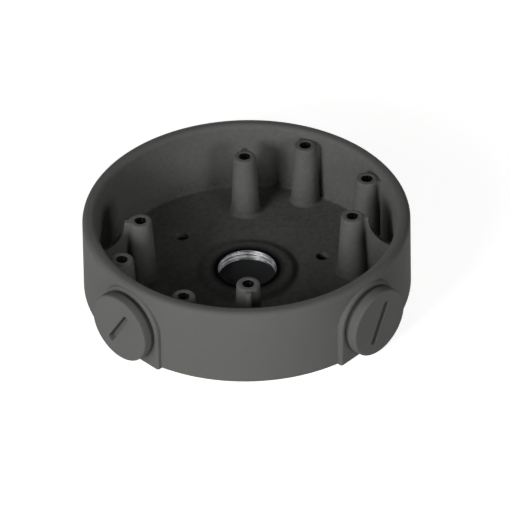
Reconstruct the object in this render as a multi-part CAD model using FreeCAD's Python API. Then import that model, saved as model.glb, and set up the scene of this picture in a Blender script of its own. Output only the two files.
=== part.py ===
"""Round die-cast base box for a dome camera, 137 mm across, seen open side up.

The box is one aluminium casting: a drafted ring wall with a round-topped rim, a flat floor,
eight tapped posts with webs to the wall, a raised hub with the rear conduit entry, and two
side conduit ports at right angles. Each side port is closed by a slotted screw plug on a
sealing ring, and the rear entry is open.

Frame, in millimetres: the origin is the centre of the rear face, which goes on the wall.
+Z points out of the open side, one port looks along -X and the other along -Y.
"""
import FreeCAD
import Part

import math
import os

from FreeCAD import Vector

# Casting: ring wall and rim
HEIGHT = 34.5
RIM_RADIUS = 68.5
REAR_RADIUS = 69.35
RIM_WALL = 5.5
RIM_OUTER_ROUND = 2.4
RIM_INNER_ROUND = 2.2
INNER_DRAFT_DEG = 1.5
REAR_EDGE_ROUND = 0.6

# Casting: floor and hub
FLOOR_THICKNESS = 2.8
FLOOR_FILLET = 1.2
HUB_HEIGHT = 2.1
HUB_TOP_RADIUS = 19.3
HUB_SLOPE_WIDTH = 1.6
HUB_ROUND = 0.9

# Rear conduit entry, open from the rear face to the hub's top
ENTRY_RADIUS = 13.2
ENTRY_REAR_CHAMFER = 0.4
ENTRY_HUB_CHAMFER = 1.0

# Wall screw holes: three on a circle whose centre lies a little off the axis
WALL_SCREW_RADIUS = 2.75
WALL_SCREW_CIRCLE_RADIUS = 35.75
WALL_SCREW_CENTRE_X = -1.1
WALL_SCREW_CENTRE_Y = 2.15
WALL_SCREW_FIRST_DEG = 90.0
WALL_SCREW_COUNT = 3

# Camera posts: four on a circle, four on an oblong
POST_TOP = 31.4
POST_TOP_RADIUS = 4.8
POST_FOOT_RADIUS = 6.3
POST_FOOT_FILLET = 1.3
POST_TOP_ROUND = 0.9
TAP_RADIUS = 2.5
TAP_DEPTH = 20.0
TAP_MOUTH_CHAMFER = 0.15
CIRCLE_POST_RADIUS = 44.33
CIRCLE_POST_COUNT = 4
CIRCLE_POST_FIRST_DEG = 45.0
OBLONG_POST_X = 55.15
OBLONG_POST_Y = 17.95

# Webs from the posts to the ring wall, flared where they meet the post and the wall
WEB_THICKNESS = 2.1
WEB_TAB_DROP = 0.4
WEB_TAB_LENGTH = 1.8
WEB_ARC_RADIUS = 17.0
WEB_ARC_RISE = 0.5
WEB_POST_FLARE = 2.2
WEB_WALL_FLARE = 1.5
WEB_WALL_BITE = 0.2
SHORT_WEB_INSET = 0.6
SHORT_WEB_DROP = 0.4

# Side ports
PORT_ANGLES_DEG = {"left": 180.0, "right": 270.0}
PORT_Z = 16.5
PORT_RADIUS = 13.2
PORT_CHAMFER = 0.4
PAD_FACE = 69.3
PAD_HALF_WIDTH = 16.2
PAD_EDGE_ROUND = 1.0

# Screw plugs and their sealing rings
THREAD_CLEARANCE = 0.1
PLUG_SHANK_INSET = 0.9
PLUG_HEAD_RADIUS = 15.1
PLUG_HEAD_THICKNESS = 4.15
PLUG_HEAD_ROUND = 0.9
PLUG_BACK_ROUND = 0.3
PLUG_SHANK_CHAMFER = 0.8
PLUG_CUP_RADIUS = 10.4
PLUG_CUP_FLOOR = 2.2
PLUG_CUP_ROUND = 1.2
SLOT_LENGTH = 19.2
SLOT_WIDTH = 2.1
SLOT_DEPTH = 1.6
SLOT_LEAN_DEG = {"left": 30.0, "right": 25.0}
SEAL_RADIUS = 14.3
SEAL_THICKNESS = 1.9
SEAL_ROUND = 0.8
SEAL_FACE_CLEARANCE = 0.05
SEAL_BORE_CLEARANCE = 0.15

# Cutters and fused feet reach this far past the faces that they meet
OVERRUN = 1.0


def arc_corner(before, corner, after, radius):
    """Start, middle and end of the arc that rounds one corner of an outline."""
    back = (before - corner).normalize()
    ahead = (after - corner).normalize()
    half_angle = back.getAngle(ahead) / 2
    reach = radius / math.tan(half_angle)
    to_centre = (back + ahead).normalize()
    centre_distance = radius / math.sin(half_angle)
    start = corner + back * reach
    middle = corner + to_centre * (centre_distance - radius)
    end = corner + ahead * reach
    return start, middle, end


def outline(corners):
    """Closed face in the XZ plane from corners (x, z, rounding radius)."""
    points = [Vector(x, 0, z) for x, z, _ in corners]
    pieces = []
    for index, (_, _, radius) in enumerate(corners):
        corner = points[index]
        if radius <= 0:
            pieces.append((corner, None, corner))
            continue
        after = points[(index + 1) % len(points)]
        pieces.append(arc_corner(points[index - 1], corner, after, radius))
    edges = []
    for index, (start, middle, end) in enumerate(pieces):
        if middle is not None:
            edges.append(Part.Arc(start, middle, end).toShape())
        following = pieces[(index + 1) % len(pieces)][0]
        edges.append(Part.makeLine(end, following))
    return Part.Face(Part.Wire(edges))


def turned(corners):
    """Solid of revolution about Z from an outline in the XZ plane."""
    return outline(corners).revolve(Vector(0, 0, 0), Vector(0, 0, 1), 360)


def turn_about_z(shape, degrees):
    """Copy of a shape, turned about the Z axis."""
    copy = shape.copy()
    copy.rotate(Vector(0, 0, 0), Vector(0, 0, 1), degrees)
    return copy


def face_along_x(shape):
    """Copy of a shape built about Z, laid so that its +Z looks along +X at the port height."""
    copy = shape.copy()
    copy.rotate(Vector(0, 0, 0), Vector(0, 1, 0), 90)
    copy.translate(Vector(0, 0, PORT_Z))
    return copy


def inner_radius_at(z):
    """Radius of the drafted inner wall at a height."""
    rim_inner_radius = RIM_RADIUS - RIM_WALL
    return rim_inner_radius - math.tan(math.radians(INNER_DRAFT_DEG)) * (HEIGHT - z)


def post_places():
    """Centres of the eight posts: (x, y, whether the post stands on the inner circle)."""
    places = []
    for index in range(CIRCLE_POST_COUNT):
        angle = math.radians(CIRCLE_POST_FIRST_DEG + index * 360 / CIRCLE_POST_COUNT)
        x = CIRCLE_POST_RADIUS * math.cos(angle)
        y = CIRCLE_POST_RADIUS * math.sin(angle)
        places.append((x, y, True))
    for side_x in (-1, 1):
        for side_y in (-1, 1):
            places.append((side_x * OBLONG_POST_X, side_y * OBLONG_POST_Y, False))
    return places


def bowl():
    """Ring wall, rim, floor and hub, turned in one outline."""
    hub_top = FLOOR_THICKNESS + HUB_HEIGHT
    hub_foot_radius = HUB_TOP_RADIUS + HUB_SLOPE_WIDTH
    return turned([
        (0, 0, 0),
        (REAR_RADIUS, 0, REAR_EDGE_ROUND),
        (RIM_RADIUS, HEIGHT, RIM_OUTER_ROUND),
        (RIM_RADIUS - RIM_WALL, HEIGHT, RIM_INNER_ROUND),
        (inner_radius_at(FLOOR_THICKNESS), FLOOR_THICKNESS, FLOOR_FILLET),
        (hub_foot_radius, FLOOR_THICKNESS, HUB_ROUND),
        (HUB_TOP_RADIUS, hub_top, HUB_ROUND),
        (0, hub_top, 0),
    ])


def post():
    """One tapered post with a filleted foot, on the Z axis."""
    rooted = FLOOR_THICKNESS / 2
    skirt_radius = POST_FOOT_RADIUS + POST_FOOT_FILLET
    return turned([
        (0, rooted, 0),
        (skirt_radius, rooted, 0),
        (skirt_radius, FLOOR_THICKNESS, 0),
        (POST_FOOT_RADIUS, FLOOR_THICKNESS, POST_FOOT_FILLET),
        (POST_TOP_RADIUS, POST_TOP, POST_TOP_ROUND),
        (0, POST_TOP, 0),
    ])


def tapped_hole():
    """Cutter for the blind hole in a post, with its chamfered mouth."""
    mouth_radius = TAP_RADIUS + TAP_MOUTH_CHAMFER
    return turned([
        (0, POST_TOP - TAP_DEPTH, 0),
        (TAP_RADIUS, POST_TOP - TAP_DEPTH + TAP_RADIUS / 2, 0),
        (TAP_RADIUS, POST_TOP - TAP_MOUTH_CHAMFER, 0),
        (mouth_radius, POST_TOP, 0),
        (mouth_radius, POST_TOP + OVERRUN, 0),
        (0, POST_TOP + OVERRUN, 0),
    ])


def arc_about(centre, start, end):
    """Start, middle and end of the shorter arc about a centre."""
    to_middle = (start - centre + end - centre).normalize()
    return start, centre + to_middle * (start - centre).Length, end


def wall_flare(half_thickness, wall_z):
    """Start, middle and end of the arc that flares a web's side into the ring wall, in plan.

    The arc touches the straight side of a web on the X axis, and a circle that lies a little
    inside the ring wall at the height wall_z.
    """
    wall_radius = inner_radius_at(wall_z) + WEB_WALL_BITE
    centre_y = half_thickness + WEB_WALL_FLARE
    centre_x = math.sqrt((wall_radius - WEB_WALL_FLARE) ** 2 - centre_y ** 2)
    centre = Vector(centre_x, centre_y, 0)
    start = Vector(centre_x, half_thickness, 0)
    end = centre * (wall_radius / centre.Length)
    return arc_about(centre, start, end)


def post_flare(half_thickness, post_x):
    """Start, middle and end of the arc that flares a post on the X axis into its web, in plan.

    The arc touches the circle of the post's top and the straight side of the web.
    """
    reach = POST_TOP_RADIUS + WEB_POST_FLARE
    centre_y = half_thickness + WEB_POST_FLARE
    post_centre = Vector(post_x, 0, 0)
    centre = post_centre + Vector(math.sqrt(reach ** 2 - centre_y ** 2), centre_y, 0)
    start = post_centre + (centre - post_centre) * (POST_TOP_RADIUS / reach)
    end = Vector(centre.x, half_thickness, 0)
    return arc_about(centre, start, end)


def web_block(beginning, wall_side, top):
    """Upright web with its plan mirrored about the X axis, rooted in the floor and the wall.

    The plan starts with the given point or arc, flares into the wall and ends inside it.
    """
    buried = wall_side[2] * ((wall_side[2].Length + RIM_WALL / 2) / wall_side[2].Length)
    side = [Part.makeLine(beginning[-1], wall_side[0])]
    if len(beginning) == 3:
        side.append(Part.Arc(*beginning).toShape())
    side.append(Part.Arc(*wall_side).toShape())
    side.append(Part.makeLine(wall_side[2], buried))
    edges = list(side)
    for edge in side:
        edges.append(edge.mirror(Vector(0, 0, 0), Vector(0, 1, 0)))
    for point in (beginning[0], buried):
        edges.append(Part.makeLine(point, Vector(point.x, -point.y, 0)))
    plan = Part.Face(Part.Wire(Part.sortEdges(edges)[0]))
    plan.translate(Vector(0, 0, FLOOR_THICKNESS / 2))
    return plan.extrude(Vector(0, 0, top - FLOOR_THICKNESS / 2))


def sweeping_web():
    """Web of an inner post: a short tab at the post's top, then a hollow arc down to the wall."""
    rooted = FLOOR_THICKNESS / 2
    tab_z = POST_TOP - WEB_TAB_DROP
    tab_end = CIRCLE_POST_RADIUS + POST_TOP_RADIUS + WEB_TAB_LENGTH
    centre_x = tab_end + WEB_ARC_RADIUS
    centre_z = tab_z + WEB_ARC_RISE
    wall_x = inner_radius_at(FLOOR_THICKNESS) + RIM_WALL / 2

    def on_arc(x):
        drop = math.sqrt(WEB_ARC_RADIUS ** 2 - (centre_x - x) ** 2)
        return Vector(x, -POST_FOOT_RADIUS, centre_z - drop)

    start_x = centre_x - math.sqrt(WEB_ARC_RADIUS ** 2 - WEB_ARC_RISE ** 2)
    start = on_arc(start_x)
    middle = on_arc(start_x + (wall_x - start_x) / 4)
    end = on_arc(wall_x)
    foot = Vector(wall_x, -POST_FOOT_RADIUS, rooted)
    root = Vector(CIRCLE_POST_RADIUS, -POST_FOOT_RADIUS, rooted)
    shoulder = Vector(CIRCLE_POST_RADIUS, -POST_FOOT_RADIUS, tab_z)
    edges = [
        Part.makeLine(shoulder, start),
        Part.Arc(start, middle, end).toShape(),
        Part.makeLine(end, foot),
        Part.makeLine(foot, root),
        Part.makeLine(root, shoulder),
    ]
    sweep = Part.Face(Part.Wire(edges)).extrude(Vector(0, 2 * POST_FOOT_RADIUS, 0))
    meets_wall_z = on_arc(inner_radius_at(POST_TOP)).z
    half_thickness = WEB_THICKNESS / 2
    block = web_block(
        post_flare(half_thickness, CIRCLE_POST_RADIUS),
        wall_flare(half_thickness, meets_wall_z),
        POST_TOP)
    return block.common(sweep)


def short_web():
    """Web of an oblong post: nearly as thick as the post, it fills the gap to the wall."""
    half_thickness = POST_TOP_RADIUS - SHORT_WEB_INSET
    top = POST_TOP - SHORT_WEB_DROP
    beginning = Vector(math.hypot(OBLONG_POST_X, OBLONG_POST_Y), half_thickness, 0)
    return web_block((beginning,), wall_flare(half_thickness, top), top)


def port_pad():
    """Arch-shaped flat of a side port, looking along +X, rounded along its face edge."""
    depth = PAD_FACE - (RIM_RADIUS - RIM_WALL / 2)
    start_x = PAD_FACE - depth
    corner_low_left = Vector(start_x, -PAD_HALF_WIDTH, 0)
    corner_high_left = Vector(start_x, -PAD_HALF_WIDTH, PORT_Z)
    crown = Vector(start_x, 0, PORT_Z + PAD_HALF_WIDTH)
    corner_high_right = Vector(start_x, PAD_HALF_WIDTH, PORT_Z)
    corner_low_right = Vector(start_x, PAD_HALF_WIDTH, 0)
    edges = [
        Part.makeLine(corner_low_left, corner_high_left),
        Part.Arc(corner_high_left, crown, corner_high_right).toShape(),
        Part.makeLine(corner_high_right, corner_low_right),
        Part.makeLine(corner_low_right, corner_low_left),
    ]
    arch = Part.Face(Part.Wire(edges)).extrude(Vector(depth, 0, 0))
    rim_edges = []
    for edge in arch.Edges:
        box = edge.BoundBox
        on_face = abs(box.XMin - PAD_FACE) < OVERRUN / 100
        at_rear = box.ZMax < OVERRUN / 100
        if on_face and not at_rear:
            rim_edges.append(edge)
    return arch.makeFillet(PAD_EDGE_ROUND, rim_edges)


def port_bore():
    """Cutter of a side port, looking along +X, with its chamfered mouth."""
    inner_end = math.sqrt(inner_radius_at(PORT_Z) ** 2 - PORT_RADIUS ** 2) - OVERRUN / 2
    mouth_radius = PORT_RADIUS + PORT_CHAMFER
    return face_along_x(turned([
        (0, inner_end, 0),
        (PORT_RADIUS, inner_end, 0),
        (PORT_RADIUS, PAD_FACE - PORT_CHAMFER, 0),
        (mouth_radius, PAD_FACE, 0),
        (mouth_radius, PAD_FACE + OVERRUN, 0),
        (0, PAD_FACE + OVERRUN, 0),
    ]))


def rear_entry():
    """Cutter of the rear entry, with both of its mouths chamfered."""
    hub_top = FLOOR_THICKNESS + HUB_HEIGHT
    rear_radius = ENTRY_RADIUS + ENTRY_REAR_CHAMFER
    hub_radius = ENTRY_RADIUS + ENTRY_HUB_CHAMFER
    return turned([
        (0, -OVERRUN, 0),
        (rear_radius, -OVERRUN, 0),
        (rear_radius, 0, 0),
        (ENTRY_RADIUS, ENTRY_REAR_CHAMFER, 0),
        (ENTRY_RADIUS, hub_top - ENTRY_HUB_CHAMFER, 0),
        (hub_radius, hub_top, 0),
        (hub_radius, hub_top + OVERRUN, 0),
        (0, hub_top + OVERRUN, 0),
    ])


def wall_screw_holes():
    """Cutters of the plain holes for the wall screws."""
    holes = []
    for index in range(WALL_SCREW_COUNT):
        angle = math.radians(WALL_SCREW_FIRST_DEG + index * 360 / WALL_SCREW_COUNT)
        x = WALL_SCREW_CENTRE_X + WALL_SCREW_CIRCLE_RADIUS * math.cos(angle)
        y = WALL_SCREW_CENTRE_Y + WALL_SCREW_CIRCLE_RADIUS * math.sin(angle)
        height = FLOOR_THICKNESS + 2 * OVERRUN
        holes.append(Part.makeCylinder(WALL_SCREW_RADIUS, height, Vector(x, y, -OVERRUN)))
    return holes


def base_housing():
    """The casting with everything that is machined into it."""
    body = bowl()
    grown = []
    cut = [rear_entry()] + wall_screw_holes()
    for x, y, inner in post_places():
        web = sweeping_web() if inner else short_web()
        webbed_post = web.fuse(post().translated(Vector(math.hypot(x, y), 0, 0)))
        grown.append(turn_about_z(webbed_post, math.degrees(math.atan2(y, x))))
        cut.append(tapped_hole().translated(Vector(x, y, 0)))
    for angle in PORT_ANGLES_DEG.values():
        grown.append(turn_about_z(port_pad(), angle))
        cut.append(turn_about_z(port_bore(), angle))
    return body.fuse(grown).removeSplitter().cut(cut)


def seal_back():
    """Distance from the box's axis to the inner face of a sealing ring."""
    return PAD_FACE + SEAL_FACE_CLEARANCE


def head_back():
    """Distance from the box's axis to the back of a plug's head."""
    return seal_back() + SEAL_THICKNESS + SEAL_FACE_CLEARANCE


def port_seal():
    """Rubber sealing ring under a plug's head, looking along +X."""
    bore_radius = PORT_RADIUS - THREAD_CLEARANCE + SEAL_BORE_CLEARANCE
    front = seal_back() + SEAL_THICKNESS
    return face_along_x(turned([
        (bore_radius, seal_back(), 0),
        (SEAL_RADIUS, seal_back(), SEAL_ROUND),
        (SEAL_RADIUS, front, SEAL_ROUND),
        (bore_radius, front, 0),
    ]))


def driver_slot():
    """Cutter of the round-ended slot across a plug's head, standing on the Z axis."""
    half_length = SLOT_LENGTH / 2 - SLOT_WIDTH / 2
    half_width = SLOT_WIDTH / 2
    low_left = Vector(-half_width, -half_length, 0)
    high_left = Vector(-half_width, half_length, 0)
    high_right = Vector(half_width, half_length, 0)
    low_right = Vector(half_width, -half_length, 0)
    edges = [
        Part.makeLine(low_left, high_left),
        Part.Arc(high_left, Vector(0, half_length + half_width, 0), high_right).toShape(),
        Part.makeLine(high_right, low_right),
        Part.Arc(low_right, Vector(0, -half_length - half_width, 0), low_left).toShape(),
    ]
    return Part.Face(Part.Wire(edges)).extrude(Vector(0, 0, SLOT_DEPTH + OVERRUN))


def port_plug(slot_lean):
    """Screw plug of a side port, looking along +X: round head, hollow shank and driver slot.

    The slot leans clockwise from upright by slot_lean degrees, as seen from outside.
    """
    shank_radius = PORT_RADIUS - THREAD_CLEARANCE
    shank_end = inner_radius_at(PORT_Z) - PLUG_SHANK_INSET
    face = head_back() + PLUG_HEAD_THICKNESS
    cup_floor = head_back() - PLUG_CUP_FLOOR
    plug = turned([
        (0, cup_floor, 0),
        (PLUG_CUP_RADIUS, cup_floor, PLUG_CUP_ROUND),
        (PLUG_CUP_RADIUS, shank_end, 0),
        (shank_radius - PLUG_SHANK_CHAMFER, shank_end, 0),
        (shank_radius, shank_end + PLUG_SHANK_CHAMFER, 0),
        (shank_radius, head_back(), 0),
        (PLUG_HEAD_RADIUS, head_back(), PLUG_BACK_ROUND),
        (PLUG_HEAD_RADIUS, face, PLUG_HEAD_ROUND),
        (0, face, 0),
    ])
    slot = driver_slot()
    slot.translate(Vector(0, 0, face - SLOT_DEPTH))
    upright = turn_about_z(slot, 90)
    leaning = turn_about_z(upright, -slot_lean)
    return face_along_x(plug.cut(leaning))


def pieces():
    """Every separate piece of the box, by node name."""
    found = {"base_housing": base_housing()}
    for side, angle in PORT_ANGLES_DEG.items():
        found[side + "_port_seal"] = turn_about_z(port_seal(), angle)
        found[side + "_port_plug"] = turn_about_z(port_plug(SLOT_LEAN_DEG[side]), angle)
    return found


def main():
    """Build each piece and write it to its own STEP file."""
    os.makedirs("parts", exist_ok=True)
    for name, shape in pieces().items():
        shape.exportStep("parts/" + name + ".step")
        print(name, "valid", shape.isValid(), "solids", len(shape.Solids),
              "volume mm3", round(shape.Volume, 1))


main()
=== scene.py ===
"""Looks of a round die-cast base box for a dome camera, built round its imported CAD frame.

The casting stays as the CAD model has it and gets its powder coat. The screw plugs, sealing
rings and all threads are surfaces worked out here, the plugs and rings to the size of their
boxes in the frame. Sizes are in millimetres and are turned to metres where a mesh is made.
"""

import math
from types import SimpleNamespace

import bmesh
import bpy
import numpy as np
from bpy.props import FloatProperty, FloatVectorProperty, PointerProperty, StringProperty
from bpy.types import Operator, Panel, PropertyGroup
from mathutils import Matrix, Vector


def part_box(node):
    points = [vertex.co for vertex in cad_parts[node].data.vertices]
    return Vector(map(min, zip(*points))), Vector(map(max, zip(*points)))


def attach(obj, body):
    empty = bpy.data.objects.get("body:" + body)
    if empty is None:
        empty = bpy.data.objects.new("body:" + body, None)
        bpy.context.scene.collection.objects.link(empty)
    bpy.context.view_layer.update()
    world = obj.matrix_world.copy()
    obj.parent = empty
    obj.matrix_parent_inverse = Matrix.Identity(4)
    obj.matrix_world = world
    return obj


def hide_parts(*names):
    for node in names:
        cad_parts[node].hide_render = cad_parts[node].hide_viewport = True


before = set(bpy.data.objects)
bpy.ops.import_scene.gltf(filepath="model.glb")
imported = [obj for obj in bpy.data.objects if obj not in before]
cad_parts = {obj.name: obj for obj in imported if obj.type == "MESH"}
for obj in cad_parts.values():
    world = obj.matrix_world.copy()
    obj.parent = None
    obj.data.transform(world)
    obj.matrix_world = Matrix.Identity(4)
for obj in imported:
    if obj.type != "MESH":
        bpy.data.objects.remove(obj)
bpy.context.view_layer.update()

bl_info = {
    "name": "Camera Mount Base Looks",
    "version": (1, 0, 0),
    "blender": (4, 5, 0),
    "location": "View3D > Sidebar > Base Box",
    "description": "Finishes, threads, plugs and studio of a die-cast camera mount base",
    "category": "Object",
}

# A millimetre in metres, and the width of the square photograph in pixels
MM = 0.001
PHOTO_PIXELS = 510

# The casting's own sizes, in millimetres
HUB_TOP = 4.9
ENTRY_RADIUS = 13.2
ENTRY_HUB_CHAMFER = 1.0
PORT_RADIUS = 13.2
PORT_CHAMFER = 0.4
PAD_FACE = 69.3
INNER_WALL = 62.95
POST_TOP = 31.4
TAP_RADIUS = 2.5
TAP_MOUTH_CHAMFER = 0.15
CIRCLE_POST_RADIUS = 44.33
OBLONG_POST_X = 55.15
OBLONG_POST_Y = 17.95

# Threads, in millimetres: each bore's thread stands on a thin sleeve just inside its wall, and
# each plug has some play in its port
SLEEVE_GAP = 0.03
SLEEVE_WALL = 0.05
ENTRY_SLEEVE_WALL = 0.35
ENTRY_SLEEVE_INSET = 0.05
PLUG_PLAY = 0.1
SCREW_THREAD_LENGTH = 8.0

# Share of a thread's depth at which the rear entry's ridge evens out at its two ends
ENTRY_END_RIDGE = 0.6

# Share of a thread's slope that is cut off flat at the crest and at the root
RIDGE_FLAT = 0.14

# Rows of points in one pitch of a thread, points round a conduit thread or a sealing ring, and
# points round a post's thread
ROWS_IN_A_PITCH = 16
CONDUIT_STEPS = 160
POST_STEPS = 40

# Sealing ring, in millimetres: play round the port's bore, and rounding of the outer edges
SEAL_PLAY = 0.05
SEAL_ROUND = 0.8

# Plug, in millimetres: chamfer of the neck behind the head, bare length before the thread, and
# rounding of the cup's lip
NECK_CHAMFER = 0.2
NECK_LENGTH = 1.0
LIP_ROUND = 0.4

# Plug's slot, in millimetres: half the width over which its walls ease in, and the band on each
# side of a wall that has close rows of points
SLOT_EASE = 0.14
SLOT_BAND = 0.16

# Even rows and columns of points on a plug's face, and close ones at each wall and each end of
# the slot
FACE_ROWS = 97
FACE_COLUMNS = 65
SLOT_WALL_ROWS = 9
SLOT_END_COLUMNS = 15

# Edges of a plug stay creased where faces meet at more than this, in degrees, and points that
# lie closer than this, in millimetres, are joined
CREASE = 35
WELD_GAP = 0.002

# Studio sheet, in millimetres: height, reach of the floor, bend up into the wall, top of the wall
# above the floor, and the painted shadow under the box with its soft edge; and points round it
SHEET_LEVEL = -0.05
SHEET_REACH = 2400.0
SHEET_BEND = 400.0
SHEET_TOP = 1500.0
PAINTED_SHADOW_RADIUS = 64.0
PAINTED_SHADOW_EDGE = 2.0
SHEET_STEPS = 96

# Strength that camera, glossy and transmitted rays see on top of the sheet's own lit colour
SHEET_GLOW = 0.86

# Strength of the surround on every ray, and what glossy and transmitted rays see on top of it
SURROUND_LEVEL = 0.02
SURROUND_GLOSS = 0.38

# Lamps: side and distance of each in metres, then name, turn from the camera and elevation in
# degrees, and power in watts
LAMP_SIZE = 0.35
LAMP_DISTANCE = 1.2
LAMPS = (
    ("left_key", -36, 20, 6.8),
    ("right_fill", 34, 20, 3.0),
    ("left_high", -50, 32, 1.7),
    ("front_low", 0, 8, 0.6),
    ("back_low", 180, 8, 2.4),
    ("back_high", 180, 45, 0.3),
)

# Which way each port looks, in degrees about +Z
PORT_ANGLES = {"left": 180.0, "right": 270.0}

# Sockets of a Mix node for colours: its two colours, and its result
FIRST_COLOUR = 6
SECOND_COLOUR = 7
MIXED_COLOUR = 2


def port_sizes(side):
    """Sizes of one plug and its ring, in millimetres, from their boxes in the frame."""
    axis = 0 if side == "left" else 1
    plug_low, plug_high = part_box(side + "_port_plug")
    seal_low, seal_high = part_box(side + "_port_seal")
    return {
        "centre_z": (plug_low.z + plug_high.z) / 2 / MM,
        "head_radius": (plug_high.z - plug_low.z) / 2 / MM,
        "face": -plug_low[axis] / MM,
        "shank_end": -plug_high[axis] / MM,
        "seal_front": -seal_low[axis] / MM,
        "seal_back": -seal_high[axis] / MM,
        "seal_radius": (seal_high.z - seal_low.z) / 2 / MM,
    }


PORTS = {side: port_sizes(side) for side in PORT_ANGLES}


class FinishColours(PropertyGroup):
    """Colours of the finishes, as sRGB hex."""

    coat: StringProperty(
        name="Powder coat", description="Dark grey powder coat of the casting and plugs",
        default="#6B6B69")
    coat_speck: StringProperty(
        name="Coat speck", description="Paler flecks of the powder coat",
        default="#757573")
    bare: StringProperty(
        name="Bare aluminium", description="Machined aluminium of the threads",
        default="#DCDDE0")
    seal: StringProperty(
        name="Seal rubber", description="Rubber of the rings under the plug heads",
        default="#3B3B39")
    # Painted shade: a near-black ring round the rear entry that fades over the hub
    entry_painted_shade: StringProperty(
        name="Entry shade", description="Painted shade of the coat round the rear entry",
        default="#161616")
    # Painted shade: the posts' threads are coloured dark for the shade deep in their holes
    post_thread_shade: StringProperty(
        name="Post thread shade", description="Aluminium of the posts' threads, painted dark for shade",
        default="#1A1A1B")
    floor: StringProperty(
        name="Studio sheet", description="Pale floor and backdrop",
        default="#D4D4D2")
    # Painted shadow: the sheet's dark grey under the box, seen through its holes
    sheet_painted_shadow: StringProperty(
        name="Painted shadow under the box", description="Painted shadow: dark sheet under the box, seen through its holes",
        default="#525355")


class ThreadSizes(PropertyGroup):
    """Sizes of the threads."""

    conduit_pitch: FloatProperty(
        name="Conduit pitch", description="Advance of the conduit threads in one turn",
        default=1.814 * MM, min=0.5 * MM, max=4 * MM, unit="LENGTH")
    conduit_depth: FloatProperty(
        name="Conduit depth", description="Height of the conduit threads' ridges",
        default=0.72 * MM, min=0.1 * MM, max=1.5 * MM, unit="LENGTH")
    screw_pitch: FloatProperty(
        name="Post pitch", description="Advance of the threads in the posts in one turn",
        default=0.8 * MM, min=0.3 * MM, max=2 * MM, unit="LENGTH")
    screw_depth: FloatProperty(
        name="Post depth", description="Height of the ridges in the posts",
        default=0.4 * MM, min=0.1 * MM, max=0.8 * MM, unit="LENGTH")


class PlugSizes(PropertyGroup):
    """Sizes of the screw plugs that their boxes in the frame don't give."""

    head_thickness: FloatProperty(
        name="Head thickness", description="Thickness of the plug's round head",
        default=4.15 * MM, min=1 * MM, max=8 * MM, unit="LENGTH")
    head_round: FloatProperty(
        name="Head rounding", description="Rounding of the head's outer edge",
        default=0.9 * MM, min=0.1 * MM, max=2 * MM, unit="LENGTH")
    back_round: FloatProperty(
        name="Back rounding", description="Rounding of the head's back edge",
        default=0.3 * MM, min=0.1 * MM, max=1 * MM, unit="LENGTH")
    slot_length: FloatProperty(
        name="Slot length", description="Length of the driver slot, end to end",
        default=19.2 * MM, min=4 * MM, max=26 * MM, unit="LENGTH")
    slot_width: FloatProperty(
        name="Slot width", description="Width of the driver slot",
        default=2.6 * MM, min=0.6 * MM, max=4 * MM, unit="LENGTH")
    slot_depth: FloatProperty(
        name="Slot depth", description="Depth of the driver slot",
        default=2.9 * MM, min=0.3 * MM, max=4 * MM, unit="LENGTH")
    cup_radius: FloatProperty(
        name="Cup radius", description="Radius of the hollow inside the shank",
        default=10.4 * MM, min=4 * MM, max=12 * MM, unit="LENGTH")
    cup_floor: FloatProperty(
        name="Cup floor", description="Depth of the hollow's floor behind the head's back",
        default=2.2 * MM, min=0.5 * MM, max=6 * MM, unit="LENGTH")
    cup_round: FloatProperty(
        name="Cup rounding", description="Rounding between the hollow's wall and floor",
        default=1.2 * MM, min=0.2 * MM, max=3 * MM, unit="LENGTH")
    shank_chamfer: FloatProperty(
        name="Shank chamfer", description="Chamfer at the shank's end",
        default=0.8 * MM, min=0.1 * MM, max=2 * MM, unit="LENGTH")
    left_lean: FloatProperty(
        name="Left slot lean", description="Lean of the left slot, clockwise from upright",
        default=math.radians(33), subtype="ANGLE")
    right_lean: FloatProperty(
        name="Right slot lean", description="Lean of the right slot, clockwise from upright",
        default=math.radians(25), subtype="ANGLE")


class StageSettings(PropertyGroup):
    """The camera as it stood for the photograph."""

    elevation: FloatProperty(
        name="Elevation", description="Height of the camera above the horizon",
        default=math.radians(37.543), subtype="ANGLE")
    azimuth: FloatProperty(
        name="Azimuth", description="Turn of the camera about the object",
        default=math.radians(-45.545), subtype="ANGLE")
    roll: FloatProperty(
        name="Roll", description="Lean of the picture",
        default=math.radians(0.914), subtype="ANGLE")
    distance: FloatProperty(
        name="Distance", description="Camera to origin along the view",
        default=1315.8 * MM, unit="LENGTH")
    focal_pixels: FloatProperty(
        name="Focal length", description="Focal length in pixels of the photograph",
        default=3101.5, subtype="PIXEL")
    aim: FloatVectorProperty(
        name="Aim", description="Origin's place right of and above the camera's axis",
        size=2, default=(-3.372 * MM, -9.4 * MM), unit="LENGTH")


SETTINGS = {
    "basebox_colours": FinishColours,
    "basebox_threads": ThreadSizes,
    "basebox_plugs": PlugSizes,
    "basebox_stage": StageSettings,
}


def in_millimetres(settings):
    """Values of a settings group by name, with its lengths turned to millimetres."""
    values = {}
    for field in settings.bl_rna.properties:
        if field.identifier not in ("rna_type", "name"):
            value = getattr(settings, field.identifier)
            values[field.identifier] = value / MM if field.unit == "LENGTH" else value
    return SimpleNamespace(**values)


def linear(hex_colour):
    """Linear RGBA from an sRGB hex colour."""
    text = hex_colour.lstrip("#")
    srgb = np.array([int(text[i:i + 2], 16) for i in (0, 2, 4)]) / 255
    value = np.where(srgb <= 0.04045, srgb / 12.92, ((srgb + 0.055) / 1.055) ** 2.4)
    return (*value.tolist(), 1.0)


def add_node(tree, kind, settings=None, inputs=None, links=None):
    """Add one node, set its fields and sockets, and link sockets from other nodes."""
    node = tree.nodes.new(kind)
    for name, value in (settings or {}).items():
        setattr(node, name, value)
    for name, value in (inputs or {}).items():
        node.inputs[name].default_value = value
    for name, source in (links or {}).items():
        tree.links.new(source, node.inputs[name])
    return node


def blank_material(name):
    """A new material and its node tree, emptied."""
    material = bpy.data.materials.new(name)
    material.use_nodes = True
    tree = material.node_tree
    tree.nodes.clear()
    return material, tree


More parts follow.
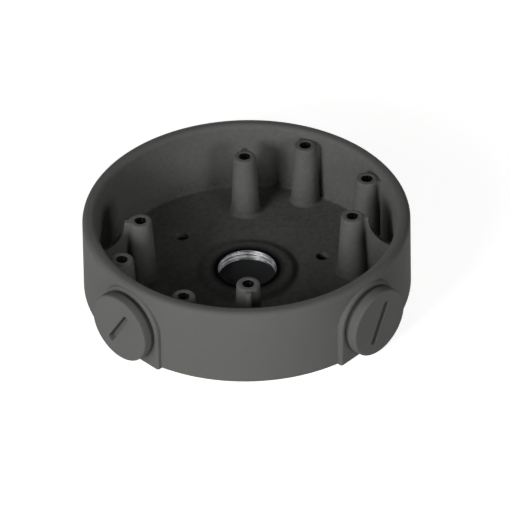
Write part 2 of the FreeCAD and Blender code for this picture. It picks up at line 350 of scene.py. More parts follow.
def powder_coat(colours):
    """Polyester powder coat, sprayed and baked on a die-cast aluminium box.

    It shows as a matte dark grey with a faint sheen: fine flecks, the slight orange peel of
    baked powder in waves of about 1.4 mm, and faint clouding over centimetres. The flecks are
    drawn at 0.35 mm, coarser than the powder's own grain, so that they show. Inside the box the
    rougher cast skin shows through in mottles of about 2 mm, strongest low down, and outside
    the casting was dressed smooth. The coat runs round sharp corners in a soft edge, softest
    on the hub. Round the rear entry a shade is painted into the colour: a dark ring at the
    entry's mouth that fades out over the hub.
    """
    # Sizes of the patterns, in millimetres
    fleck_size = 0.35
    peel_size = 1.4
    skin_size = 2.0
    cloud_size = 22.0
    # How much the mottles change the tone, on the floor and higher up
    floor_mottle = 0.14
    high_mottle = 0.06
    # Height of the flecks and of the cast skin in the relief, against the orange peel's
    fleck_relief = 0.35
    skin_relief = 1.5
    # Softness of the corners on the hub and everywhere else, in millimetres
    hub_softness = 2.2
    corner_softness = 0.7
    # Where the painted shade round the rear entry lifts, out from the box's axis in millimetres: a
    # first share just past the entry's mouth, and the rest past the hub
    mouth = ENTRY_RADIUS + ENTRY_HUB_CHAMFER
    mouth_share = 0.66
    mouth_lift = (mouth - 0.3, mouth + 2.3)
    hub_lift = (mouth + 4.8, mouth + 7.8)
    # Where the hub's soft corners end, and where the inside of the box ends on its rim
    hub_end = (mouth + 8, mouth + 10)
    inside_end = (INNER_WALL, INNER_WALL + 1.5)

    material, tree = blank_material("powder_coat_dark_grey")
    place = add_node(tree, "ShaderNodeTexCoord")
    fleck = add_node(
        tree, "ShaderNodeTexNoise",
        inputs={"Scale": 1 / (fleck_size * MM), "Detail": 3.0, "Roughness": 0.7},
        links={"Vector": place.outputs["Object"]})
    skin = add_node(
        tree, "ShaderNodeTexNoise",
        inputs={"Scale": 1 / (skin_size * MM), "Detail": 4.0, "Roughness": 0.65},
        links={"Vector": place.outputs["Object"]})
    peel = add_node(
        tree, "ShaderNodeTexNoise", inputs={"Scale": 1 / (peel_size * MM), "Detail": 2.0},
        links={"Vector": place.outputs["Object"]})
    cloud = add_node(
        tree, "ShaderNodeTexNoise", inputs={"Scale": 1 / (cloud_size * MM), "Detail": 2.0},
        links={"Vector": place.outputs["Object"]})
    flat = add_node(
        tree, "ShaderNodeVectorMath", settings={"operation": "MULTIPLY"},
        inputs={1: (1, 1, 0)}, links={0: place.outputs["Object"]})
    reach = add_node(
        tree, "ShaderNodeVectorMath", settings={"operation": "LENGTH"},
        links={0: flat.outputs[0]})
    inside = add_node(
        tree, "ShaderNodeMapRange",
        inputs={"From Min": inside_end[0] * MM, "From Max": inside_end[1] * MM,
                "To Min": 1.0, "To Max": 0.0},
        links={"Value": reach.outputs["Value"]})
    blend = add_node(
        tree, "ShaderNodeMapRange", inputs={"From Min": 0.42, "From Max": 0.78},
        links={"Value": fleck.outputs["Fac"]})
    colour = add_node(
        tree, "ShaderNodeMix", settings={"data_type": "RGBA"},
        inputs={FIRST_COLOUR: linear(colours.coat), SECOND_COLOUR: linear(colours.coat_speck)},
        links={"Factor": blend.outputs["Result"]})
    tint = add_node(
        tree, "ShaderNodeMapRange", inputs={"To Min": 0.94, "To Max": 1.06},
        links={"Value": cloud.outputs["Fac"]})
    split = add_node(
        tree, "ShaderNodeSeparateXYZ", links={"Vector": place.outputs["Object"]})
    low_down = add_node(
        tree, "ShaderNodeMapRange",
        inputs={"From Min": HUB_TOP * MM, "From Max": 2 * HUB_TOP * MM,
                "To Min": floor_mottle, "To Max": high_mottle},
        links={"Value": split.outputs["Z"]})
    patchy = add_node(
        tree, "ShaderNodeMath", settings={"operation": "MULTIPLY"},
        links={0: low_down.outputs["Result"], 1: inside.outputs["Result"]})
    mottle = add_node(
        tree, "ShaderNodeMapRange",
        inputs={"From Min": 0.35, "From Max": 0.65, "To Min": -1.0, "To Max": 1.0},
        links={"Value": skin.outputs["Fac"]})
    level = add_node(
        tree, "ShaderNodeMath", settings={"operation": "MULTIPLY_ADD"},
        links={0: mottle.outputs["Result"], 1: patchy.outputs[0], 2: tint.outputs["Result"]})
    shade = add_node(
        tree, "ShaderNodeVectorMath", settings={"operation": "SCALE"},
        links={0: colour.outputs[MIXED_COLOUR], "Scale": level.outputs[0]})
    # Painted shade: the coat darkens to near black at the rear entry's mouth and lifts back over
    # the hub
    past_mouth = add_node(
        tree, "ShaderNodeMapRange",
        inputs={"From Min": mouth_lift[0] * MM, "From Max": mouth_lift[1] * MM,
                "To Min": 0.0, "To Max": mouth_share},
        links={"Value": reach.outputs["Value"]})
    past_hub = add_node(
        tree, "ShaderNodeMapRange",
        inputs={"From Min": hub_lift[0] * MM, "From Max": hub_lift[1] * MM,
                "To Min": 0.0, "To Max": 1 - mouth_share},
        links={"Value": reach.outputs["Value"]})
    unshaded_share = add_node(
        tree, "ShaderNodeMath", settings={"operation": "ADD"},
        links={0: past_mouth.outputs["Result"], 1: past_hub.outputs["Result"]})
    coat_with_painted_shade = add_node(
        tree, "ShaderNodeMix", settings={"data_type": "RGBA"},
        inputs={FIRST_COLOUR: linear(colours.entry_painted_shade)},
        links={"Factor": unshaded_share.outputs[0], SECOND_COLOUR: shade.outputs[0]})
    gloss = add_node(
        tree, "ShaderNodeMapRange", inputs={"To Min": 0.6, "To Max": 0.72},
        links={"Value": peel.outputs["Fac"]})
    rough = add_node(
        tree, "ShaderNodeMath", settings={"operation": "MULTIPLY"},
        links={0: skin.outputs["Fac"], 1: inside.outputs["Result"]})
    waves = add_node(
        tree, "ShaderNodeMath", settings={"operation": "MULTIPLY_ADD"},
        inputs={1: fleck_relief}, links={0: fleck.outputs["Fac"], 2: peel.outputs["Fac"]})
    relief = add_node(
        tree, "ShaderNodeMath", settings={"operation": "MULTIPLY_ADD"},
        inputs={1: skin_relief}, links={0: rough.outputs[0], 2: waves.outputs[0]})
    softness = add_node(
        tree, "ShaderNodeMapRange",
        inputs={"From Min": hub_end[0] * MM, "From Max": hub_end[1] * MM,
                "To Min": hub_softness * MM, "To Max": corner_softness * MM},
        links={"Value": reach.outputs["Value"]})
    corner = add_node(
        tree, "ShaderNodeBevel", settings={"samples": 6},
        links={"Radius": softness.outputs["Result"]})
    bump = add_node(
        tree, "ShaderNodeBump", inputs={"Strength": 0.25, "Distance": 0.06 * MM},
        links={"Height": relief.outputs[0], "Normal": corner.outputs["Normal"]})
    shader = add_node(
        tree, "ShaderNodeBsdfPrincipled", inputs={"IOR": 1.5, "Specular IOR Level": 0.04},
        links={
            "Base Color": coat_with_painted_shade.outputs[MIXED_COLOUR],
            "Roughness": gloss.outputs["Result"],
            "Normal": bump.outputs["Normal"],
        })
    add_node(tree, "ShaderNodeOutputMaterial", links={"Surface": shader.outputs[0]})
    return material


def cut_aluminium(name, colour, rough_low, rough_high):
    """Die-cast aluminium alloy, bare where a tap or die has cut the thread.

    It shows as pale metal with the cutter's fine chatter in streaks of about 0.5 mm and duller
    patches of about 3 mm. The colour is given by the caller: pale for the bore threads, and for
    the posts' blind holes a dark grey that paints the shade deep in the holes.
    """
    # Sizes of the patterns, in millimetres
    streak_size = 0.5
    patch_size = 3.0

    material, tree = blank_material(name)
    place = add_node(tree, "ShaderNodeTexCoord")
    streak = add_node(
        tree, "ShaderNodeTexNoise",
        inputs={"Scale": 1 / (streak_size * MM), "Detail": 3.0, "Roughness": 0.6},
        links={"Vector": place.outputs["Object"]})
    patch = add_node(
        tree, "ShaderNodeTexNoise", inputs={"Scale": 1 / (patch_size * MM), "Detail": 3.0},
        links={"Vector": place.outputs["Object"]})
    tone = add_node(
        tree, "ShaderNodeMapRange",
        inputs={"From Min": 0.35, "From Max": 0.65, "To Min": 0.5, "To Max": 1.1},
        links={"Value": patch.outputs["Fac"]})
    shade = add_node(
        tree, "ShaderNodeVectorMath", settings={"operation": "SCALE"},
        inputs={0: linear(colour)[:3]}, links={"Scale": tone.outputs["Result"]})
    gloss = add_node(
        tree, "ShaderNodeMapRange", inputs={"To Min": rough_low, "To Max": rough_high},
        links={"Value": streak.outputs["Fac"]})
    bump = add_node(
        tree, "ShaderNodeBump", inputs={"Strength": 0.1, "Distance": 0.03 * MM},
        links={"Height": streak.outputs["Fac"]})
    shader = add_node(
        tree, "ShaderNodeBsdfPrincipled", inputs={"Metallic": 1.0},
        links={
            "Base Color": shade.outputs[0],
            "Roughness": gloss.outputs["Result"],
            "Normal": bump.outputs["Normal"],
        })
    add_node(tree, "ShaderNodeOutputMaterial", links={"Surface": shader.outputs[0]})
    return material


def moulded_rubber(colours):
    """Moulded rubber of a sealing ring.

    It shows as a dull grey close to black, with a fine matte grain of about 0.5 mm and faint
    clouding of the moulded skin.
    """
    # Sizes of the patterns, in millimetres
    grain_size = 0.5
    cloud_size = 6.0

    material, tree = blank_material("seal_rubber")
    place = add_node(tree, "ShaderNodeTexCoord")
    grain = add_node(
        tree, "ShaderNodeTexNoise", inputs={"Scale": 1 / (grain_size * MM), "Detail": 2.0},
        links={"Vector": place.outputs["Object"]})
    cloud = add_node(
        tree, "ShaderNodeTexNoise", inputs={"Scale": 1 / (cloud_size * MM), "Detail": 2.0},
        links={"Vector": place.outputs["Object"]})
    tone = add_node(
        tree, "ShaderNodeMapRange", inputs={"To Min": 0.85, "To Max": 1.15},
        links={"Value": cloud.outputs["Fac"]})
    shade = add_node(
        tree, "ShaderNodeVectorMath", settings={"operation": "SCALE"},
        inputs={0: linear(colours.seal)[:3]}, links={"Scale": tone.outputs["Result"]})
    gloss = add_node(
        tree, "ShaderNodeMapRange", inputs={"To Min": 0.6, "To Max": 0.75},
        links={"Value": grain.outputs["Fac"]})
    bump = add_node(
        tree, "ShaderNodeBump", inputs={"Strength": 0.2, "Distance": 0.03 * MM},
        links={"Height": grain.outputs["Fac"]})
    shader = add_node(
        tree, "ShaderNodeBsdfPrincipled", inputs={"IOR": 1.5, "Specular IOR Level": 0.4},
        links={
            "Base Color": shade.outputs[0],
            "Roughness": gloss.outputs["Result"],
            "Normal": bump.outputs["Normal"],
        })
    add_node(tree, "ShaderNodeOutputMaterial", links={"Surface": shader.outputs[0]})
    return material


def studio_sheet_material(colours):
    """Pale matte studio paper, white to the camera and to gloss, and dark under the box.

    Camera, glossy and transmitted rays see the paper's own lit colour with an even glow added,
    so the sheet is white and keeps the object's shadow. Under the box a shadow is painted: the
    sheet is a dark grey with no glow there, and that painted shade is what the rear entry and
    the screw holes show.
    """
    material, tree = blank_material("studio_paper")
    place = add_node(tree, "ShaderNodeTexCoord")
    flat = add_node(
        tree, "ShaderNodeVectorMath", settings={"operation": "MULTIPLY"},
        inputs={1: (1, 1, 0)}, links={0: place.outputs["Object"]})
    reach = add_node(
        tree, "ShaderNodeVectorMath", settings={"operation": "LENGTH"},
        links={0: flat.outputs[0]})
    # Painted shadow: the sheet is dark grey under the box, with a soft edge and no glow
    outside = add_node(
        tree, "ShaderNodeMapRange",
        inputs={"From Min": PAINTED_SHADOW_RADIUS * MM,
                "From Max": (PAINTED_SHADOW_RADIUS + PAINTED_SHADOW_EDGE) * MM},
        links={"Value": reach.outputs["Value"]})
    colour = add_node(
        tree, "ShaderNodeMix", settings={"data_type": "RGBA"},
        inputs={FIRST_COLOUR: linear(colours.sheet_painted_shadow), SECOND_COLOUR: linear(colours.floor)},
        links={"Factor": outside.outputs["Result"]})
    path = add_node(tree, "ShaderNodeLightPath")
    mirrored = add_node(
        tree, "ShaderNodeMath", settings={"operation": "MAXIMUM"},
        links={0: path.outputs["Is Glossy Ray"], 1: path.outputs["Is Transmission Ray"]})
    seen = add_node(
        tree, "ShaderNodeMath", settings={"operation": "MAXIMUM"},
        links={0: path.outputs["Is Camera Ray"], 1: mirrored.outputs[0]})
    shown = add_node(
        tree, "ShaderNodeMath", settings={"operation": "MULTIPLY"},
        links={0: seen.outputs[0], 1: outside.outputs["Result"]})
    glow_level = add_node(
        tree, "ShaderNodeMath", settings={"operation": "MULTIPLY"},
        inputs={1: SHEET_GLOW}, links={0: shown.outputs[0]})
    glow = add_node(
        tree, "ShaderNodeEmission", inputs={"Color": (1, 1, 1, 1)},
        links={"Strength": glow_level.outputs[0]})
    paper = add_node(
        tree, "ShaderNodeBsdfDiffuse", links={"Color": colour.outputs[MIXED_COLOUR]})
    sheet = add_node(
        tree, "ShaderNodeAddShader", links={0: paper.outputs[0], 1: glow.outputs[0]})
    add_node(tree, "ShaderNodeOutputMaterial", links={"Surface": sheet.outputs[0]})
    return material


def dress(obj, *materials):
    """Give an object its materials, the first of them all over."""
    obj.data.materials.clear()
    for material in materials:
        obj.data.materials.append(material)


def second_material(obj, chosen):
    """Give the second material to the chosen faces."""
    obj.data.polygons.foreach_set("material_index", chosen.astype(np.int32))


def grid_faces(rows, columns, closed_columns):
    """Corner indices of a grid's squares; closed_columns joins the last column to the first."""
    row = np.arange(rows - 1)[:, None]
    column = np.arange(columns if closed_columns else columns - 1)[None, :]
    after = (column + 1) % columns
    corners = np.stack([
        row * columns + column, row * columns + after,
        (row + 1) * columns + after, (row + 1) * columns + column,
    ], axis=-1)
    return corners.reshape(-1, 4)


def closed_faces(rows, columns):
    """Corner indices of a grid's squares when both its columns and its rows close up."""
    quads = grid_faces(rows + 1, columns, True)
    return np.where(quads >= rows * columns, quads - rows * columns, quads)


def mesh_object(name, points_mm, quads, fans=()):
    """A smooth mesh object from points in millimetres, squares, and fans of triangles.

    Each fan is given as the ring of its outer points and the point in its middle.
    """
    mesh = bpy.data.meshes.new(name)
    faces = quads.tolist()
    for ring, centre in fans:
        turned = np.roll(ring, -1)
        faces.extend(np.stack([ring, turned, np.full(len(ring), centre)], axis=1).tolist())
    mesh.from_pydata((points_mm * MM).tolist(), [], faces)
    mesh.update()
    mesh.shade_smooth()
    obj = bpy.data.objects.new(name, mesh)
    bpy.context.scene.collection.objects.link(obj)
    return obj


def join_shells(shells):
    """Points and squares of several shells as one list of points and one of squares."""
    points = []
    quads = []
    count = 0
    for shell_points, shell_quads in shells:
        points.append(shell_points)
        quads.append(shell_quads + count)
        count += len(shell_points)
    return np.concatenate(points), np.concatenate(quads)


def arc_points(centre, radius, start_deg, end_deg, count):
    """Points on a circle's arc in a profile plane: centre plus radius times (cos, sin)."""
    angle = np.radians(np.linspace(start_deg, end_deg, count))
    return np.stack([centre[0] + radius * np.cos(angle), centre[1] + radius * np.sin(angle)], 1)


def thread_ridge(phase):
    """Height of a screw ridge, 0 to 1: a triangle wave of the phase with its tips flattened."""
    triangle = 1 - np.abs(2 * (phase % 1.0) - 1)
    return np.clip((triangle - RIDGE_FLAT) / (1 - 2 * RIDGE_FLAT), 0, 1)


def fade(along, start, end, run):
    """1 between start and end and 0 outside, with straight ramps of length run inside."""
    return np.clip((along - start) / run, 0, 1) * np.clip((end - along) / run, 0, 1)


def threaded_bore(
        bore_radius, wall, depth, pitch, low, high, run, end_ridge=0.0, steps=CONDUIT_STEPS):
    """Closed sleeve that lines a bore from low to high, with a ridge wound round its inside.

    Inner radius = root less depth times the ridge at (height / pitch less angle / full turn).
    Over a length run at both ends the ridge evens out to the height end_ridge all round. The
    outside is a plain cylinder just inside the bore. The faces of the inside come first, then
    three rings of faces for the rest.
    """
    outside = bore_radius - SLEEVE_GAP
    root = outside - wall
    rows = int(round((high - low) / pitch * ROWS_IN_A_PITCH)) + 1
    height = np.linspace(low, high, rows)[:, None]
    angle = np.linspace(0, 2 * np.pi, steps, endpoint=False)[None, :]
    ridge = thread_ridge(height / pitch - angle / (2 * np.pi))
    inner = root - depth * (end_ridge + (ridge - end_ridge) * fade(height, low, high, run))
    outer = np.full((2, steps), outside)
    radius = np.concatenate([inner, outer])
    level = np.concatenate([
        np.repeat(height, steps, 1), np.full((1, steps), high), np.full((1, steps), low)])
    points = np.stack([radius * np.cos(angle), radius * np.sin(angle), level], -1)
    return points.reshape(-1, 3), closed_faces(len(radius), steps)[:, ::-1]


def at_port(points, side):
    """Points given as (right, up, out) of a port, put in the box's own frame."""
    angle = math.radians(PORT_ANGLES[side])
    out = np.array([math.cos(angle), math.sin(angle), 0])
    right = np.array([-math.sin(angle), math.cos(angle), 0])
    up = np.array([0, 0, 1])
    centre = up * PORTS[side]["centre_z"]
    return centre + points[:, :1] * right + points[:, 1:2] * up + points[:, 2:3] * out


def slot_depth_at(x, y, plug):
    """Depth of the driver slot at a place on the face.

    The slot is the set of places nearer than half its width to a straight line of its length;
    the depth eases in over a soft wall, so that the edges are slightly round.
    """
    half_line = (plug.slot_length - plug.slot_width) / 2
    away = np.hypot(np.maximum(np.abs(x) - half_line, 0), y) - plug.slot_width / 2
    step = np.clip((SLOT_EASE - away) / (2 * SLOT_EASE), 0, 1)
    return plug.slot_depth * step * step * (3 - 2 * step)


def slot_stations(radius, plug):
    """Angles of the face grid's rows: even ones, with more at the slot's two long walls."""
    even = np.radians(np.linspace(-90, 90, FACE_ROWS))
    walls = np.array([[-1], [1]]) * plug.slot_width / 2
    beside = np.linspace(-SLOT_BAND, SLOT_BAND, SLOT_WALL_ROWS)
    close = np.arcsin((walls + beside) / radius).ravel()
    # Even rows that all but touch a close one are left out
    least_gap = 0.05 / radius
    clear = np.abs(even[:, None] - close).min(axis=1) > least_gap
    return np.sort(np.concatenate([even[clear], close]))


def slot_columns(radius, plug):
    """Shares of the half chord where the face grid's columns lie, closer at the slot's ends."""
    even = np.linspace(-1, 1, FACE_COLUMNS)
    end = plug.slot_length / 2 / radius
    reach = plug.slot_width / radius
    past_end = 0.25 / radius
    close = np.linspace(end - reach, end + past_end, SLOT_END_COLUMNS)
    clear = np.abs(np.abs(even) - end) > reach
    return np.unique(np.round(np.concatenate([even[clear], -close, close]), 6))


def plug_face(radius, level, plug):
    """Face of a plug's head as a grid of chords across a disc, with the slot sunk in it.

    Row at angle a is the chord at y = radius sin a; column share c puts x = c radius cos a;
    the height is the face's level less the slot's depth at (x, y).
    """
    stations = slot_stations(radius, plug)
    columns = slot_columns(radius, plug)
    x = radius * np.cos(stations)[:, None] * columns[None, :]
    y = np.broadcast_to(radius * np.sin(stations)[:, None], x.shape)
    depth = slot_depth_at(x, y, plug)
    points = np.stack([x, y, level - depth], -1)
    quads = grid_faces(len(stations), len(columns), False)
    return points.reshape(-1, 3), quads, stations


def plug_profile(sizes, plug, thread):
    """Outline of a plug from the edge of its face round to the middle of its cup.

    Returns its rows as (radius, distance out), whether the thread's ridge stands on each, and
    where the thread starts and ends.
    """
    back = sizes["face"] - plug.head_thickness
    end = sizes["shank_end"]
    radius = sizes["head_radius"]
    crest = PORT_RADIUS - PLUG_PLAY
    edge_round = plug.head_round
    edge = arc_points(
        (radius - edge_round, sizes["face"] - edge_round), edge_round, 90, 0, count=9)
    under = arc_points(
        (radius - plug.back_round, back + plug.back_round), plug.back_round, 0, -90, count=4)
    undercut = crest - thread.conduit_depth
    neck = np.array([[undercut + NECK_CHAMFER, back], [undercut, back - NECK_CHAMFER]])
    shank_low = end + plug.shank_chamfer
    shank_high = back - NECK_LENGTH
    rows = int(round((shank_high - shank_low) / thread.conduit_pitch * ROWS_IN_A_PITCH)) + 1
    shank_level = np.linspace(shank_high, shank_low, rows)
    shank = np.stack([np.full(rows, crest), shank_level], 1)
    lip_radius = plug.cup_radius + LIP_ROUND
    tip = np.array([[crest - plug.shank_chamfer, end], [lip_radius, end]])
    lip = arc_points((lip_radius, end + LIP_ROUND), LIP_ROUND, -90, -180, count=5)[1:]
    floor = back - plug.cup_floor
    corner = arc_points(
        (plug.cup_radius - plug.cup_round, floor - plug.cup_round), plug.cup_round, 0, 90,
        count=7)
    middle = np.array([[plug.cup_radius / 2, floor]])
    outline = np.concatenate([edge, under, neck, shank, tip, lip, corner, middle])
    start = len(edge) + len(under) + len(neck)
    threaded = np.zeros(len(outline), bool)
    threaded[start:start + rows] = True
    return outline, threaded, (shank_low, shank_high)


def plug_shell(sizes, plug, thread, lean):
    """A whole screw plug: the slotted face, then its outline carried round the axis.

    On the shank the radius is the crest less the depth times one less the ridge, and the ridge
    is half a pitch out of step with the one in the bore, so the two lie in mesh. All is worked
    out with the slot level and turned at the end, so that the slot leans clockwise from upright.
    """
    turn = math.pi / 2 - lean
    outline, threaded, (low, high) = plug_profile(sizes, plug, thread)
    face_radius = sizes["head_radius"] - plug.head_round
    face_points, face_quads, stations = plug_face(face_radius, sizes["face"], plug)
    right_half = stations[1:-1]
    around = np.concatenate([right_half, [np.pi / 2], np.pi - right_half, [-np.pi / 2]])
    around = np.sort(around % (2 * np.pi))
    level = np.broadcast_to(outline[:, 1:2], (len(outline), len(around)))
    phase = level / thread.conduit_pitch - (around[None, :] + turn) / (2 * np.pi) + 0.5
    ridge = thread_ridge(phase) * fade(level, low, high, run=thread.conduit_pitch / 3)
    sunk = thread.conduit_depth * (1 - ridge) * threaded[:, None]
    radius = outline[:, :1] - sunk
    points = np.stack([radius * np.cos(around), radius * np.sin(around), level], -1)
    side_quads = grid_faces(len(outline), len(around), True)[:, ::-1]
    shells = [(face_points, face_quads), (points.reshape(-1, 3), side_quads)]
    all_points, quads = join_shells(shells)
    last_ring = len(all_points) - len(around) + np.arange(len(around))
    all_points = np.concatenate([all_points, [[0, 0, outline[-1, 1]]]])
    fan = (last_ring[::-1], len(all_points) - 1)
    rotation = np.array([[math.cos(turn), -math.sin(turn)], [math.sin(turn), math.cos(turn)]])
    all_points[:, :2] = all_points[:, :2] @ rotation.T
    return all_points, quads, fan


def weld(obj):
    """Join points that lie together and close up the seams between shells."""
    shape = bmesh.new()
    shape.from_mesh(obj.data)
    bmesh.ops.remove_doubles(shape, verts=shape.verts, dist=WELD_GAP * MM)
    bmesh.ops.recalc_face_normals(shape, faces=shape.faces)
    shape.to_mesh(obj.data)
    shape.free()
    obj.data.shade_smooth()


def face_distances(obj, side):
    """Distances of an object's faces from the box's axis, out along a port, in millimetres."""
    angle = math.radians(PORT_ANGLES[side])
    centres = np.empty(3 * len(obj.data.polygons), np.float32)
    obj.data.polygons.foreach_get("center", centres)
    return centres.reshape(-1, 3) @ [math.cos(angle), math.sin(angle), 0] / MM


def ring_shell(inner, radius, back, front, rounding):
    """Closed rubber ring: a section with its outer edges rounded, carried round the axis."""
    outline = np.concatenate([
        [[inner, back]],
        arc_points((radius - rounding, back + rounding), rounding, -90, 0, count=8),
        arc_points((radius - rounding, front - rounding), rounding, 0, 90, count=8),
        [[inner, front]],
    ])
    around = np.linspace(0, 2 * np.pi, CONDUIT_STEPS, endpoint=False)[None, :]
    radius_at = outline[:, :1]
    level = np.broadcast_to(outline[:, 1:], (len(outline), CONDUIT_STEPS))
    points = np.stack([radius_at * np.cos(around), radius_at * np.sin(around), level], -1)
    return points.reshape(-1, 3), closed_faces(len(outline), CONDUIT_STEPS)


def post_places():
    """Centres of the eight posts, in millimetres."""
    places = []
    for degrees in (45, 135, 225, 315):
        angle = math.radians(degrees)
        places.append((CIRCLE_POST_RADIUS * math.cos(angle), CIRCLE_POST_RADIUS * math.sin(angle)))
    for side_x in (-1, 1):
        for side_y in (-1, 1):
            places.append((side_x * OBLONG_POST_X, side_y * OBLONG_POST_Y))
    return places


class BASEBOX_OT_casting(Operator):
    """Powder coat the casting, which stays as the frame has it."""

    bl_idname = "basebox.casting"
    bl_label = "Casting"

    def execute(self, context):
        dress(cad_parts["base_housing"], powder_coat(context.scene.basebox_colours))
        return {"FINISHED"}


class BASEBOX_OT_bore_threads(Operator):
    """Thread the rear entry and both side ports."""

    bl_idname = "basebox.bore_threads"
    bl_label = "Bore threads"

    def execute(self, context):
        scene = context.scene
        thread = in_millimetres(scene.basebox_threads)
        metal = cut_aluminium(
            "cut_aluminium_bright", scene.basebox_colours.bare, rough_low=0.24, rough_high=0.38)
        depth = thread.conduit_depth
        pitch = thread.conduit_pitch
        shells = {"rear_entry_thread": threaded_bore(
            ENTRY_RADIUS, ENTRY_SLEEVE_WALL, depth, pitch, ENTRY_SLEEVE_INSET,
            HUB_TOP - ENTRY_SLEEVE_INSET, run=pitch / 8, end_ridge=ENTRY_END_RIDGE)}
        port_points, port_quads = threaded_bore(
            PORT_RADIUS, SLEEVE_WALL, depth, pitch, INNER_WALL, PAD_FACE - PORT_CHAMFER,
            run=pitch / 3)
        for side in PORT_ANGLES:
            shells[side + "_port_thread"] = (at_port(port_points, side), port_quads)
        for name, (points, quads) in shells.items():
            obj = mesh_object(name, points, quads)
            # The sleeves' top and outside take the coat, which at the rear entry carries its
            # painted shade
            dress(obj, metal, bpy.data.materials["powder_coat_dark_grey"])
            outside_the_thread = np.arange(len(quads)) >= len(quads) - 3 * CONDUIT_STEPS
            second_material(obj, outside_the_thread)
            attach(obj, "base")
        return {"FINISHED"}


class BASEBOX_OT_post_threads(Operator):
    """Thread the mouths of the eight posts."""

    bl_idname = "basebox.post_threads"
    bl_label = "Post threads"

    def execute(self, context):
        scene = context.scene
        thread = in_millimetres(scene.basebox_threads)
        # Painted shade: the posts' threads get a near-black metal colour for the shade in the deep
        # holes
        metal = cut_aluminium(
            "cut_aluminium_painted_shade", scene.basebox_colours.post_thread_shade, rough_low=0.16, rough_high=0.28)
        high = POST_TOP - TAP_MOUTH_CHAMFER
        points, quads = threaded_bore(
            TAP_RADIUS, SLEEVE_WALL, thread.screw_depth, thread.screw_pitch,
            high - SCREW_THREAD_LENGTH, high, run=thread.screw_pitch / 3, steps=POST_STEPS)
        shells = [(points + [x, y, 0], quads) for x, y in post_places()]
        obj = mesh_object("post_threads", *join_shells(shells))
        dress(obj, metal)
        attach(obj, "base")
        return {"FINISHED"}


class BASEBOX_OT_screw_plugs(Operator):
    """Make both slotted screw plugs, with their shanks' threads left bare."""

    bl_idname = "basebox.screw_plugs"
    bl_label = "Screw plugs"

    def execute(self, context):
        scene = context.scene
        plug = in_millimetres(scene.basebox_plugs)
        thread = in_millimetres(scene.basebox_threads)
        for side, lean in (("left", plug.left_lean), ("right", plug.right_lean)):
            points, quads, fan = plug_shell(PORTS[side], plug, thread, lean)
            obj = mesh_object(side + "_screw_plug", at_port(points, side), quads, [fan])
            weld(obj)
            obj.data.set_sharp_from_angle(angle=math.radians(CREASE))
            dress(obj, bpy.data.materials["powder_coat_dark_grey"],
                  bpy.data.materials["cut_aluminium_bright"])
            head_back = PORTS[side]["face"] - plug.head_thickness
            second_material(obj, face_distances(obj, side) < head_back)
            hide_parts(side + "_port_plug")
            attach(obj, side + "_plug")
        return {"FINISHED"}


class BASEBOX_OT_sealing_rings(Operator):
    """Make both rubber sealing rings."""

    bl_idname = "basebox.sealing_rings"
    bl_label = "Sealing rings"

    def execute(self, context):
        rubber = moulded_rubber(context.scene.basebox_colours)
        for side, port in PORTS.items():
            points, quads = ring_shell(
                PORT_RADIUS + SEAL_PLAY, port["seal_radius"], port["seal_back"],
                port["seal_front"], SEAL_ROUND)
            obj = mesh_object(side + "_sealing_ring", at_port(points, side), quads)
            weld(obj)
            dress(obj, rubber)
            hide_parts(side + "_port_seal")
            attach(obj, side + "_seal")
        return {"FINISHED"}


def view_direction(azimuth, elevation):
    """Direction from the origin to a viewer at an azimuth and elevation in radians."""
    level = math.cos(elevation)
    return Vector((math.sin(azimuth) * level, -math.cos(azimuth) * level, math.sin(elevation)))


def soft_lamp(name, place, power):
    """Square soft white lamp at a place in metres, looking at the origin."""
    data = bpy.data.lights.new(name, "AREA")
    data.size = LAMP_SIZE
    data.energy = power
    obj = bpy.data.objects.new(name, data)
    obj.location = place
    obj.rotation_mode = "QUATERNION"
    obj.rotation_quaternion = (-place).to_track_quat("-Z", "Y")
    bpy.context.scene.collection.objects.link(obj)


def photo_camera(stage):
    """The camera that took the photograph, from the fit of its rim, posts and plugs."""
    right = Vector((math.cos(stage.azimuth), math.sin(stage.azimuth), 0))
    back = view_direction(stage.azimuth, stage.elevation)
    up = back.cross(right)
    place = stage.distance * back - stage.aim[0] * right - stage.aim[1] * up
    rolled_right = math.cos(stage.roll) * right - math.sin(stage.roll) * up
    rolled_up = math.sin(stage.roll) * right + math.cos(stage.roll) * up
    data = bpy.data.cameras.new("photo_camera")
    data.sensor_width = 36.0
    data.lens = stage.focal_pixels / PHOTO_PIXELS * data.sensor_width
    data.clip_start = 0.05
    data.clip_end = 20.0
    obj = bpy.data.objects.new("photo_camera", data)
    basis = Matrix((rolled_right, rolled_up, back)).transposed().to_4x4()
    basis.translation = place
    obj.matrix_world = basis
    bpy.context.scene.collection.objects.link(obj)
    bpy.context.scene.camera = obj


def studio_sheet(colours):
    """Plain pale sheet: a round floor that turns up into a low wall far behind the object.

    The profile starts at the floor's end, runs round a quarter circle and up, and is carried
    round the upright axis. The floor is a fan inside it.
    """
    outline = np.concatenate([
        [[SHEET_REACH, SHEET_LEVEL]],
        arc_points((SHEET_REACH, SHEET_LEVEL + SHEET_BEND), SHEET_BEND, -90, 0, count=13)[1:],
        [[SHEET_REACH + SHEET_BEND, SHEET_LEVEL + SHEET_TOP]],
    ])
    around = np.linspace(0, 2 * np.pi, SHEET_STEPS, endpoint=False)[None, :]
    radius = outline[:, :1]
    level = np.broadcast_to(outline[:, 1:], (len(outline), SHEET_STEPS))
    points = np.stack([radius * np.cos(around), radius * np.sin(around), level], -1)
    points = np.concatenate([points.reshape(-1, 3), [[0, 0, SHEET_LEVEL]]])
    quads = grid_faces(len(radius), SHEET_STEPS, True)
    inner_ring = np.arange(SHEET_STEPS)
    obj = mesh_object("studio_sheet", points, quads, [(inner_ring, len(points) - 1)])
    dress(obj, studio_sheet_material(colours))


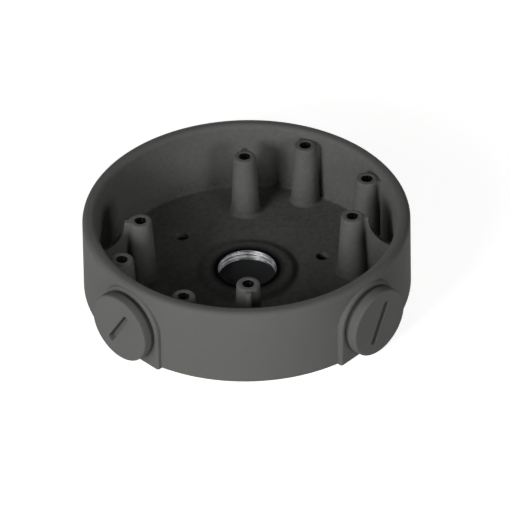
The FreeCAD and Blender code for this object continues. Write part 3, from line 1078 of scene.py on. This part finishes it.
def studio_world():
    """Faint even surround, brighter to gloss, so that bare metal mirrors it as a pale ceiling."""
    world = bpy.data.worlds.new("studio_surround")
    bpy.context.scene.world = world
    world.use_nodes = True
    tree = world.node_tree
    tree.nodes.clear()
    path = add_node(tree, "ShaderNodeLightPath")
    mirrored = add_node(
        tree, "ShaderNodeMath", settings={"operation": "MAXIMUM"},
        links={0: path.outputs["Is Glossy Ray"], 1: path.outputs["Is Transmission Ray"]})
    strength = add_node(
        tree, "ShaderNodeMath", settings={"operation": "MULTIPLY_ADD"},
        inputs={1: SURROUND_GLOSS, 2: SURROUND_LEVEL}, links={0: mirrored.outputs[0]})
    soft = add_node(
        tree, "ShaderNodeBackground", inputs={"Color": (1, 1, 1, 1)},
        links={"Strength": strength.outputs[0]})
    add_node(tree, "ShaderNodeOutputWorld", links={"Surface": soft.outputs[0]})


class BASEBOX_OT_stage(Operator):
    """Set up the floor, the soft light and the photograph's camera."""

    bl_idname = "basebox.stage"
    bl_label = "Stage"

    def execute(self, context):
        scene = context.scene
        studio_sheet(scene.basebox_colours)
        studio_world()
        for name, turn, elevation, power in LAMPS:
            azimuth = scene.basebox_stage.azimuth + math.radians(turn)
            place = LAMP_DISTANCE * view_direction(azimuth, math.radians(elevation))
            soft_lamp(name, place, power)
        photo_camera(scene.basebox_stage)
        scene.view_settings.view_transform = "Standard"
        return {"FINISHED"}


STEPS = (
    ("basebox.casting", BASEBOX_OT_casting),
    ("basebox.bore_threads", BASEBOX_OT_bore_threads),
    ("basebox.post_threads", BASEBOX_OT_post_threads),
    ("basebox.screw_plugs", BASEBOX_OT_screw_plugs),
    ("basebox.sealing_rings", BASEBOX_OT_sealing_rings),
    ("basebox.stage", BASEBOX_OT_stage),
)


class BASEBOX_PT_panel(Panel):
    """Lists the operators that dress the base box, with their settings."""

    bl_label = "Camera Mount Base"
    bl_idname = "BASEBOX_PT_panel"
    bl_space_type = "VIEW_3D"
    bl_region_type = "UI"
    bl_category = "Base Box"

    def draw(self, context):
        for group in SETTINGS:
            settings = getattr(context.scene, group)
            box = self.layout.box()
            for name in settings.bl_rna.properties.keys():
                if name not in ("rna_type", "name"):
                    box.prop(settings, name)
        for name, _ in STEPS:
            self.layout.operator(name)


CLASSES = (*SETTINGS.values(), *(step for _, step in STEPS), BASEBOX_PT_panel)


def register():
    """Register the classes and hang the settings on the scene."""
    for entry in CLASSES:
        bpy.utils.register_class(entry)
    for name, group in SETTINGS.items():
        setattr(bpy.types.Scene, name, PointerProperty(type=group))


def unregister():
    """Take the settings and the classes away again."""
    for name in SETTINGS:
        delattr(bpy.types.Scene, name)
    for entry in reversed(CLASSES):
        bpy.utils.unregister_class(entry)


def main():
    """Dress the object step by step."""
    register()
    for name, _ in STEPS:
        group, step = name.split(".")
        getattr(getattr(bpy.ops, group), step)()


if __name__ == "__main__":
    main()
